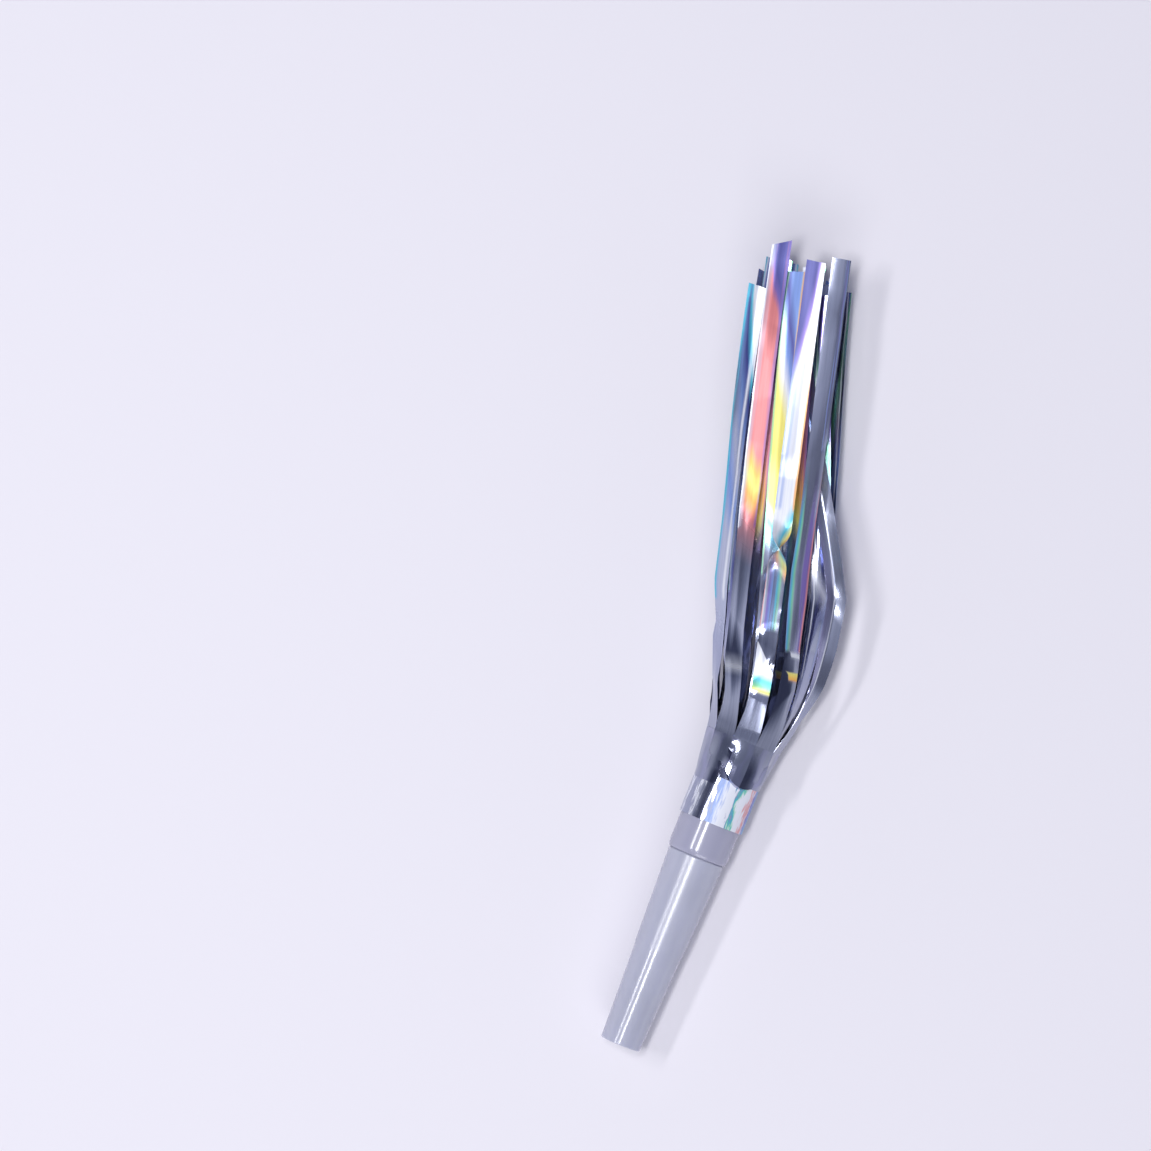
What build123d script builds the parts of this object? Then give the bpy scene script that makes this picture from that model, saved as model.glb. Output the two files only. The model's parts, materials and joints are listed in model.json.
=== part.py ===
from build123d import *
from collections import namedtuple
from math import cos, log, pi, radians, sin, tan
import os

# Foil-fringe party horn, lying on its side.
# A tapered mouthpiece plugs into a short barrel and holds a free reed inside.
# A band of metallised foil is glued round the barrel in two turns, and the rest of
# the foil, slit into strips, stands free past the barrel's end.
# Millimetres. The origin is the centre of the mouth opening, +Y runs along the tube
# to the fringe and +Z is up.

# Mouthpiece: a moulded tube, polished at the lip, with a spigot at its wide end
mouth_diameter = 7.0
mouth_wall = 0.9
mouth_bore_length = 10.0
mouthpiece_length = 34.5
lip_length = 17.0
lip_step = 0.1
lip_step_length = 0.4
lip_round = 0.3
spigot_length = 6.0
spigot_wall = 0.8
spigot_lead = 0.3
shoulder_seat = 0.47
shoulder_chamfer = 0.25
press_clearance = 0.02

# Barrel: a short tube that butts on the mouthpiece's shoulder
barrel_diameter = 10.6
barrel_wall = 0.8
barrel_length = 14.0
barrel_rim_length = 1.2
barrel_rim_depth = 0.35

# Reed: a half-round trough on a collar, with a thin tongue wedged over it
reed_seat_depth = 1.0
reed_seat_ledge = 0.33
trough_length = 14.5
trough_air_gap = 0.8
trough_wall = 0.8
trough_tip_wall = 1.2
trough_tip_round = 1.0
tongue_thickness = 0.15
tongue_margin = 0.2
tongue_setback = 0.4
tongue_root = 1.5
tongue_tip_round = 0.8
tongue_open_angle = 3.5
tongue_clearance = 0.1
clamp_slot_height = 1.5
wedge_length = 4.2
wedge_taper = 0.25

# Tape under the foil: one turn that doesn't quite close
tape_thickness = 0.06
tape_inset = 0.6
tape_opening = 24.0
lay_clearance = 0.015

# Foil: the glued band, the unslit skirt past the barrel and the strips
foil_thickness = 0.10
turn_gap = 0.05
seam_angle = 108.0
bare_barrel = 6.2
skirt_gap = 0.2
skirt_length = 7.0
skirt_belly = 0.5
skirt_belly_height = 2.0
skirt_belly_angle = 62.0
skirt_flare = 0.7
turn_spread = 0.7
slit_gap = 0.25
root_gap = 0.2
strip_length = 82.0
strip_sections = 7

# Plume: the bundle of strips leans to one side just past the slits
plume_lean = 14.5
plume_bend = 12.0
plume_reach = 10.0
plume_rise = 6.2
bow_peak = 0.33

# How each strip lies at its tip, one row a slit going round from the foil's seam:
# its place across the plume and its height as shares of the plume's reach and rise,
# how far it is rolled from flat in degrees, the share that its length gains, how far it
# bows out on the way as a share of the reach, and the share of its length by which it has
# turned over from the tube's side to that roll.
Lay = namedtuple("Lay", "across height roll gain bow turned_by", defaults=(1.0,))
outer_lay = [
    Lay(-0.64, 0.92, 0, 0.035, 0.24),
    Lay(-0.94, 0.36, 18, -0.060, 0.20),
    Lay(-0.80, -0.52, -22, -0.025, 0.14),
    Lay(-0.44, -0.98, 0, 0.0, 0.06),
    Lay(-0.02, -0.98, 0, -0.040, 0.0),
    Lay(0.42, -0.98, 0, -0.020, 0.06),
    Lay(0.52, -0.44, 20, -0.050, 0.30),
    Lay(-0.20, -0.03, 10, -0.045, 0.72, 0.40),
    Lay(0.40, 0.80, -10, 0.012, 0.05),
    Lay(-0.03, 1.04, 8, 0.0, 0.10),
]
inner_lay = [
    Lay(-0.56, 0.34, -10, -0.035, 0.10),
    Lay(-0.70, 0.0, -16, 0.0, 0.08),
    Lay(-0.56, -0.32, 14, 0.012, 0.06),
    Lay(-0.34, -0.66, -8, -0.025, 0.03),
    Lay(0.02, -0.58, 8, 0.0, 0.0),
    Lay(0.38, -0.68, -8, -0.030, 0.04),
    Lay(0.26, -0.33, -12, -0.040, 0.12),
    Lay(0.26, -0.14, 6, -0.060, 0.36, 0.50),
    Lay(-0.06, 0.22, 10, -0.012, 0.06),
    Lay(-0.32, 0.60, 0, -0.024, 0.0),
]

# Radii that follow from the sizes above, outwards from the bore
mouth_radius = mouth_diameter / 2
mouth_bore_radius = mouth_radius - mouth_wall
barrel_radius = barrel_diameter / 2
barrel_bore_radius = barrel_radius - barrel_wall
spigot_radius = barrel_bore_radius - press_clearance
spigot_bore_radius = spigot_radius - spigot_wall
shoulder_radius = spigot_radius + shoulder_seat
bore_end_radius = spigot_bore_radius - reed_seat_ledge
collar_radius = spigot_bore_radius - press_clearance
tape_radius = barrel_radius + lay_clearance
wrap_radius = tape_radius + tape_thickness + lay_clearance
turn_pitch = foil_thickness + turn_gap
band_radius = wrap_radius + 2 * turn_pitch - foil_thickness / 2
outer_slit_radius = band_radius + skirt_flare
inner_slit_radius = outer_slit_radius - turn_spread

# Stations along the tube, from the mouth
shoulder_y = mouthpiece_length
spigot_end_y = shoulder_y + spigot_length
reed_seat_y = shoulder_y + reed_seat_depth
collar_length = spigot_end_y - reed_seat_y
trough_tip_y = reed_seat_y - trough_length
barrel_end_y = shoulder_y + barrel_length
wrap_start_y = shoulder_y + bare_barrel
skirt_start_y = barrel_end_y + skirt_gap
slit_y = skirt_start_y + skirt_length
strip_root_y = slit_y + root_gap

# The trough clears the tapered bore where the bore is narrowest beside it
bore_taper = (bore_end_radius - mouth_bore_radius) / (reed_seat_y - mouth_bore_length)
trough_radius = mouth_bore_radius + bore_taper * (trough_tip_y - mouth_bore_length) - trough_air_gap
channel_radius = trough_radius - trough_wall
tongue_width = 2 * (channel_radius + tongue_margin)
tongue_free = trough_length - tongue_setback
tongue_rise = tongue_free * tan(radians(tongue_open_angle))

# Strips of both turns are cut to one width, which fits the inner turn's slits
slit_count = len(outer_lay)
slit_angle = 360 / slit_count
strip_width = 2 * inner_slit_radius * sin(pi / slit_count) - slit_gap


def cross_plane(y):
    """Plane square to the tube at station y, its x and y along the part's X and Z."""
    return Plane.XZ.offset(-y)


# Mouthpiece: outer taper with the lip's small step, shoulder, spigot and reed seat
lip_radius = mouth_radius + (shoulder_radius - lip_step - mouth_radius) * lip_length / mouthpiece_length

with BuildPart() as mouthpiece:
    with BuildSketch(Plane.XY):
        with BuildLine():
            Polyline(
                (mouth_bore_radius, 0),
                (mouth_radius, 0),
                (lip_radius, lip_length),
                (lip_radius + lip_step, lip_length + lip_step_length),
                (shoulder_radius, shoulder_y - shoulder_chamfer),
                (shoulder_radius - shoulder_chamfer, shoulder_y),
                (spigot_radius, shoulder_y),
                (spigot_radius, spigot_end_y - spigot_lead),
                (spigot_radius - spigot_lead, spigot_end_y),
                (spigot_bore_radius, spigot_end_y),
                (spigot_bore_radius, reed_seat_y),
                (bore_end_radius, reed_seat_y),
                (mouth_bore_radius, mouth_bore_length),
                close=True,
            )
        make_face()
    revolve(axis=Axis.Y)
    mouth_edges = mouthpiece.edges().group_by(Axis.Y)[0]
    fillet(mouth_edges.sort_by(SortBy.RADIUS)[-1], radius=min(lip_round, mouth_wall / 3))
mouthpiece.part.label = "mouthpiece"

# Barrel: its rim is rounded down to the shoulder, which leaves a fine groove
with BuildPart() as barrel:
    with BuildSketch(Plane.XY):
        with BuildLine():
            rim = TangentArc(
                (barrel_radius, shoulder_y + barrel_rim_length),
                (barrel_radius - barrel_rim_depth, shoulder_y),
                tangent=(0, -1),
            )
            Polyline(
                rim @ 1,
                (barrel_bore_radius, shoulder_y),
                (barrel_bore_radius, barrel_end_y),
                (barrel_radius, barrel_end_y),
                rim @ 0,
            )
        make_face()
    revolve(axis=Axis.Y)
barrel.part.label = "barrel"

# Reed holder: collar in the spigot, trough towards the mouth, sound channel through both
with BuildPart() as reed_holder:
    with BuildSketch(cross_plane(reed_seat_y)):
        Circle(collar_radius)
    extrude(amount=-collar_length)
    with BuildSketch(cross_plane(reed_seat_y)):
        with BuildLine():
            bowl = CenterArc((0, 0), trough_radius, 180, 180)
            Line(bowl @ 1, bowl @ 0)
        make_face()
    extrude(amount=trough_length)
    tip_edges = reed_holder.edges().group_by(Axis.Y)[0]
    fillet(tip_edges.filter_by(GeomType.CIRCLE), radius=trough_tip_round)
    with BuildSketch(cross_plane(trough_tip_y + trough_tip_wall)):
        with BuildLine():
            groove = CenterArc((0, 0), channel_radius, 180, 180)
            Line(groove @ 1, groove @ 0)
        make_face()
    extrude(amount=trough_tip_wall - trough_length - collar_length, mode=Mode.SUBTRACT)
    with BuildSketch(cross_plane(reed_seat_y)):
        Rectangle(
            tongue_width + 2 * tongue_clearance,
            clamp_slot_height,
            align=(Align.CENTER, Align.MIN),
        )
    extrude(amount=-collar_length, mode=Mode.SUBTRACT)
reed_holder.part.label = "reed_holder"

# Reed tongue: its root lies flat in the slot and its free end stands open over the trough
with BuildPart() as reed_tongue:
    with BuildSketch(Plane.YZ):
        with BuildLine():
            Polyline(
                (reed_seat_y + tongue_root, tongue_clearance),
                (reed_seat_y, tongue_clearance),
                (reed_seat_y - tongue_free, tongue_clearance + tongue_rise),
                (reed_seat_y - tongue_free, tongue_clearance + tongue_rise + tongue_thickness),
                (reed_seat_y, tongue_clearance + tongue_thickness),
                (reed_seat_y + tongue_root, tongue_clearance + tongue_thickness),
                close=True,
            )
        make_face()
    extrude(amount=tongue_width / 2, both=True)
    tip_corners = reed_tongue.edges().filter_by(Axis.Z).group_by(Axis.Y)[0]
    fillet(tip_corners, radius=tongue_tip_round)
reed_tongue.part.label = "reed_tongue"

# Reed wedge: pushed in over the tongue's root, thinner at the end that goes in first
wedge_low = tongue_clearance + tongue_thickness + tongue_clearance
wedge_high = clamp_slot_height - press_clearance

with BuildPart() as reed_wedge:
    with BuildSketch(Plane.YZ):
        with BuildLine():
            Polyline(
                (reed_seat_y, wedge_low),
                (reed_seat_y + wedge_length, wedge_low),
                (reed_seat_y + wedge_length, wedge_high),
                (reed_seat_y, wedge_high - wedge_taper),
                close=True,
            )
        make_face()
    extrude(amount=tongue_width / 2, both=True)
reed_wedge.part.label = "reed_wedge"

# Adhesive tape: a thin sleeve on the barrel, open at the back of the seam
with BuildPart() as adhesive_tape:
    with BuildSketch(Plane.XY):
        with BuildLine():
            Polyline(
                (tape_radius, wrap_start_y + tape_inset),
                (tape_radius + tape_thickness, wrap_start_y + tape_inset),
                (tape_radius + tape_thickness, barrel_end_y - tape_inset),
                (tape_radius, barrel_end_y - tape_inset),
                close=True,
            )
        make_face()
    revolve(axis=Axis.Y, revolution_arc=360 - tape_opening)
adhesive_tape.part.label = "adhesive_tape"

# Foil band: two turns, drawn as half circles about two centres half a pitch apart
half_pitch = turn_pitch / 2
half_turns = 4
centre_shift = Vector(half_pitch, 0).rotate(Axis.Z, seam_angle)

with BuildPart() as foil_band:
    with BuildSketch(cross_plane(barrel_end_y)):
        with BuildLine():
            faces_of_foil = []
            for face_offset in (0, foil_thickness):
                spiral = [
                    CenterArc(
                        centre_shift * (half % 2),
                        wrap_radius + face_offset + half * half_pitch,
                        seam_angle + 180 * half,
                        180,
                    )
                    for half in range(half_turns)
                ]
                faces_of_foil.append(spiral)
            under, over = faces_of_foil
            Line(under[0] @ 0, over[0] @ 0)
            Line(under[-1] @ 1, over[-1] @ 1)
        make_face()
    extrude(amount=barrel_end_y - wrap_start_y)
foil_band.part.label = "foil_band"


def make_skirt(name, rings):
    """Foil past the barrel's end, creased into one flat facet a strip."""
    with BuildPart() as skirt:
        for face_offset, mode in ((foil_thickness / 2, Mode.ADD), (-foil_thickness / 2, Mode.SUBTRACT)):
            for ring_y, ring_centre, ring_radius in rings:
                with BuildSketch(cross_plane(ring_y)):
                    with Locations(ring_centre):
                        RegularPolygon(
                            ring_radius + face_offset, slit_count, major_radius=False, rotation=seam_angle
                        )
            loft(ruled=True, mode=mode)
    skirt.part.label = name
    return skirt


# The outer turn's skirt buckles out on one side, level with the band on the other, and
# the inner turn's carries straight on
tube_centre = Vector(0, 0)
belly_centre = Vector(skirt_belly, 0).rotate(Axis.Z, skirt_belly_angle)
outer_skirt = make_skirt(
    "outer_skirt",
    [
        (skirt_start_y, tube_centre, band_radius),
        (skirt_start_y + skirt_belly_height, belly_centre, band_radius + skirt_belly),
        (slit_y, tube_centre, outer_slit_radius),
    ],
)
inner_skirt = make_skirt(
    "inner_skirt",
    [
        (skirt_start_y, tube_centre, wrap_radius + foil_thickness / 2),
        (slit_y, tube_centre, inner_slit_radius),
    ],
)


def ease(share):
    """Smooth step from 0 to 1, level at both ends."""
    return share * share * (3 - 2 * share)


def plume_frame(run):
    """Point, sideways direction and forward direction of the plume's middle line."""
    bend_radius = plume_bend / radians(plume_lean)
    heading = min(run, plume_bend) / bend_radius
    sideways = Vector(cos(heading), sin(heading), 0)
    forward = Vector(-sin(heading), cos(heading), 0)
    bend = Vector(bend_radius * (cos(heading) - 1), strip_root_y + bend_radius * sin(heading), 0)
    return bend + forward * max(run - plume_bend, 0), sideways


def bow_shape(share):
    """Bow from 0 at the root through 1 at its peak to 0 at the tip, level at all three."""
    return sin(pi * share ** (log(0.5) / log(bow_peak))) ** 2


def strip_point(slit_radius, slot, lay, share):
    """Middle of a strip at a share of its length, and the direction across it."""
    change = ease(share)
    bow = plume_reach * lay.bow * bow_shape(share)
    middle, sideways = plume_frame(share * strip_length * (1 + lay.gain))
    root_across, root_height = slit_radius * cos(radians(slot)), slit_radius * sin(radians(slot))
    across = root_across * (1 - change) + plume_reach * lay.across * change + bow * cos(radians(slot))
    height = root_height * (1 - change) + plume_rise * lay.height * change + bow * max(sin(radians(slot)), 0)
    flat = 180 if root_height > 0 else 360
    turned = ease(min(share / lay.turned_by, 1))
    roll = radians((slot + 90) * (1 - turned) + (flat + lay.roll) * turned)
    return middle + sideways * across + Vector(0, 0, height), sideways * cos(roll) + Vector(0, 0, sin(roll))


def strip_plane(slit_radius, slot, lay, share):
    """Plane square to a strip, its x across the strip and its y on the outer face's side."""
    step = 0.001
    here, across = strip_point(slit_radius, slot, lay, share)
    ahead, _ = strip_point(slit_radius, slot, lay, share + step)
    behind, _ = strip_point(slit_radius, slot, lay, max(share - step, 0))
    return Plane(origin=here, x_dir=across, z_dir=ahead - behind)


def make_strip(name, slit_radius, slot, lay):
    """One foil strip, flat across, that leaves the skirt and turns into its lay."""
    with BuildPart() as strip:
        for section in range(strip_sections):
            share = section / (strip_sections - 1)
            with BuildSketch(strip_plane(slit_radius, slot, lay, share)):
                Rectangle(strip_width, foil_thickness)
        loft()
    strip.part.label = name
    return strip


strips = []
for turn, slit_radius, lays in (
    ("outer", outer_slit_radius, outer_lay),
    ("inner", inner_slit_radius, inner_lay),
):
    for number, lay in enumerate(lays):
        slot = (seam_angle + slit_angle * (number + 0.5)) % 360
        strips.append(make_strip(f"{turn}_strip_{number + 1:02d}", slit_radius, slot, lay))

os.makedirs("parts", exist_ok=True)
tube_pieces = [mouthpiece, barrel, reed_holder, reed_tongue, reed_wedge]
foil_pieces = [adhesive_tape, foil_band, outer_skirt, inner_skirt]
for piece in tube_pieces + foil_pieces + strips:
    export_step(piece.part, f"parts/{piece.part.label}.step")
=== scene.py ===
import json
from collections import namedtuple
from math import cos, hypot, log, pi, radians, sin, tan
from random import Random

import bpy
from bpy.props import FloatProperty, FloatVectorProperty, IntProperty, PointerProperty
from bpy.types import Operator, Panel, PropertyGroup
from mathutils import Matrix, Vector, noise


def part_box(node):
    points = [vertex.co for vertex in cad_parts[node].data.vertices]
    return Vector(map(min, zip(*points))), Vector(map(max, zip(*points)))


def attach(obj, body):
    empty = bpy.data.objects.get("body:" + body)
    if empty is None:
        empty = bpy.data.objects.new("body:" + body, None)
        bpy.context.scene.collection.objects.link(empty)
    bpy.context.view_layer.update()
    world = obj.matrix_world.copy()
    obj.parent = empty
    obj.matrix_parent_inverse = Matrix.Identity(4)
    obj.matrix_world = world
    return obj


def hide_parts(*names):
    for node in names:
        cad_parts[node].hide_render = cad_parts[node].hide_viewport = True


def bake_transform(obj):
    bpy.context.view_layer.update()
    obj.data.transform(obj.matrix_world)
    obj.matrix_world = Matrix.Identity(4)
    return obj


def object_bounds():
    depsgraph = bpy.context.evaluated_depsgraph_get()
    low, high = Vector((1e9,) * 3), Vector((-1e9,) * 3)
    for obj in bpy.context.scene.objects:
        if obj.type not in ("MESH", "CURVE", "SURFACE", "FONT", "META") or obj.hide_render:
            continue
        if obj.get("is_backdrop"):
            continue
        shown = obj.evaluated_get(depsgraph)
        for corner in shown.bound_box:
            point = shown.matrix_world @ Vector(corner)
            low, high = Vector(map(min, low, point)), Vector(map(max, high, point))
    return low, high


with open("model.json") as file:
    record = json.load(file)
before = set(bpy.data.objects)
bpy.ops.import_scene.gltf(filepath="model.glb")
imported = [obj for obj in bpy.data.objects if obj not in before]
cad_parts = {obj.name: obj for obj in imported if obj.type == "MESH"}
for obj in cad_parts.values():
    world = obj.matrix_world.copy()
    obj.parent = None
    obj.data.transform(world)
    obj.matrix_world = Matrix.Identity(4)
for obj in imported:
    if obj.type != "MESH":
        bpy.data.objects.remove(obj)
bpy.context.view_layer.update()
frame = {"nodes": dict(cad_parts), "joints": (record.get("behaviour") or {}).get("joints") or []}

bl_info = {
    "name": "Foil fringe party horn",
    "version": (1, 0, 0),
    "blender": (4, 5, 0),
    "location": "3D View > Sidebar > Party horn",
    "description": "Dresses the packed party horn in frosted plastic and holographic foil",
    "category": "Object",
}

# Metres. The origin is the centre of the mouth opening, +Y runs along the tube to the
# fringe and +Z is up, as in the frame.
MM = 0.001

mouthpiece_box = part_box("mouthpiece")
barrel_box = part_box("barrel")
band_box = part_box("foil_band")
skirt_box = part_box("outer_skirt")
strip_joints = {joint["child"]: Vector(joint["pos_m"]) for joint in frame["joints"]}
outer_root = strip_joints["outer_strip_01"]
inner_root = strip_joints["inner_strip_01"]

# The foil's seam, as an angle from +X to +Z round the tube
SEAM = radians(108)


def hex_to_linear(code):
    """Linear colour with alpha from an sRGB hex code."""
    channels = [int(code[place : place + 2], 16) / 255 for place in (1, 3, 5)]
    return [c / 12.92 if c <= 0.04045 else ((c + 0.055) / 1.055) ** 2.4 for c in channels] + [1.0]


def length(name, description, default):
    """A length that a user can change, in metres."""
    return FloatProperty(name=name, description=description, default=default, min=0.0, unit="LENGTH")


def colour(name, description, code):
    """A colour that a user can change, given as an sRGB hex code."""
    return FloatVectorProperty(
        name=name,
        description=description,
        default=hex_to_linear(code),
        size=4,
        min=0.0,
        max=1.0,
        subtype="COLOR",
    )


class HornSizes(PropertyGroup):
    """Sizes of the horn and its view"""

    mouth_radius: length("Mouth radius", "Outside of the mouthpiece at the lips", 3.5 * MM)
    mouth_bore: length("Mouth bore", "Radius of the straight bore at the lips", 2.6 * MM)
    mouth_bore_length: length("Mouth bore length", "How far the straight bore goes in", 10.0 * MM)
    lip_length: length("Lip length", "Polished part of the mouthpiece", 17.0 * MM)
    lip_step: length("Lip step", "Step between the polished and the frosted part", 0.1 * MM)
    lip_step_length: length("Lip step length", "Length of that step", 0.4 * MM)
    shoulder_chamfer: length("Shoulder chamfer", "Chamfer that faces the barrel", 0.25 * MM)
    spigot_wall: length("Spigot wall", "Wall of the spigot inside the barrel", 0.8 * MM)
    spigot_lead: length("Spigot lead-in", "Chamfer at the spigot's end", 0.3 * MM)
    reed_seat_depth: length("Reed seat depth", "How far the reed's seat lies behind the shoulder", 1.0 * MM)
    reed_seat_ledge: length("Reed seat ledge", "Ledge that stops the reed's collar", 0.33 * MM)
    press_clearance: length("Press clearance", "Play between spigot and barrel", 0.02 * MM)
    barrel_wall: length("Barrel wall", "Wall of the barrel", 0.8 * MM)
    barrel_rim: length("Barrel rim", "Length of the barrel's rounded rim", 1.2 * MM)
    barrel_rim_depth: length("Barrel rim depth", "How far the rim rounds down", 0.35 * MM)
    edge_round: length("Edge round", "Bevel on the moulded edges", 0.12 * MM)
    turned_sides: IntProperty(name="Turned sides", description="Sides of a turned piece", default=128, min=16)
    foil: length("Foil thickness", "Thickness of the film as it is drawn", 0.06 * MM)
    turn_pitch: length("Turn pitch", "Distance from one turn of the band to the next", 0.15 * MM)
    strip_width: length("Strip width", "Width of each strip", 3.236 * MM)
    strip_length: length("Strip length", "Length of a strip that gains nothing", 82.0 * MM)
    slit_setback: length("Slit setback", "From the strip's hinge back to the skirt's edge", 0.2 * MM)
    plume_lean: FloatProperty(
        name="Plume lean", description="Turn of the plume to one side", default=radians(14.5), subtype="ANGLE"
    )
    plume_bend: length("Plume bend", "Length of the arc in which the plume turns", 12.0 * MM)
    plume_reach: length("Plume reach", "Half width that the strips' places are shares of", 10.0 * MM)
    plume_rise: length("Plume rise", "Half height that the strips' heights are shares of", 6.2 * MM)
    bow_peak: FloatProperty(
        name="Bow peak",
        description="Share of the length where a strip bows most",
        default=0.33,
        min=0.05,
        max=0.95,
    )
    bow_elbow: FloatProperty(
        name="Bow elbow",
        description="How sharply a bowed strip turns at its peak",
        default=0.6,
        min=0.0,
        max=1.0,
    )
    camera_distance: length("Camera distance", "Height of the camera above the horn", 0.9)
    camera_span: length("Camera span", "Width that the frame covers at the horn", 195.7 * MM)


class HornColours(PropertyGroup):
    """Colours of the horn and the floor"""

    frosted: colour("Frosted plastic", "Moulded polypropylene of the mouthpiece", "#B8BACD")
    barrel: colour("Barrel plastic", "Clearer polypropylene of the barrel", "#B8B8D0")
    reed: colour("Reed plastic", "Polystyrene of the reed's holder and wedge", "#E4E4E8")
    reed_film: colour("Reed film", "Polyester film of the tongue", "#E8EAF0")
    tape: colour("Tape", "Double-sided tape under the foil", "#E6E0D0")
    silver: colour("Foil silver", "Foil that mirrors the room", "#B4BAD4")
    # Painted shade: a darker foil colour put where the foil turns away from the light, at the strips' roots
    # and in dark stretches of them, on the band, on the crumpled skirts and where a wedge cuts the colours
    # off
    shade: colour("Foil shade", "Foil where it folds away", "#A4A9BF")
    # Painted highlight: white painted where the foil flashes in the lamps, as glints at folds and kinks,
    # lines along strips' edges and whole bright stretches of the band and of one strip
    white: colour("Foil white", "Foil that flashes white", "#E4E7F2")
    # Painted reflection: the colours that the foil's real grating throws back from the lamps, painted in as
    # fixed colour along and across the strips and round the band
    salmon: colour("Foil salmon", "Salmon band of the grating", "#DA8083")
    orange: colour("Foil orange", "Orange band of the grating", "#F6B25A")
    yellow: colour("Foil yellow", "Yellow band of the grating", "#F6EC80")
    green: colour("Foil green", "Green band of the grating", "#86D6A6")
    cyan: colour("Foil cyan", "Cyan band of the grating", "#4FC0DC")
    blue: colour("Foil blue", "Blue band of the grating", "#7F9CDC")
    indigo: colour("Foil indigo", "Indigo band of the grating", "#4C4E98")
    violet: colour("Foil violet", "Violet band of the grating", "#7C68B4")
    floor: colour("Floor", "Pale floor", "#E7E4EC")
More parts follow.
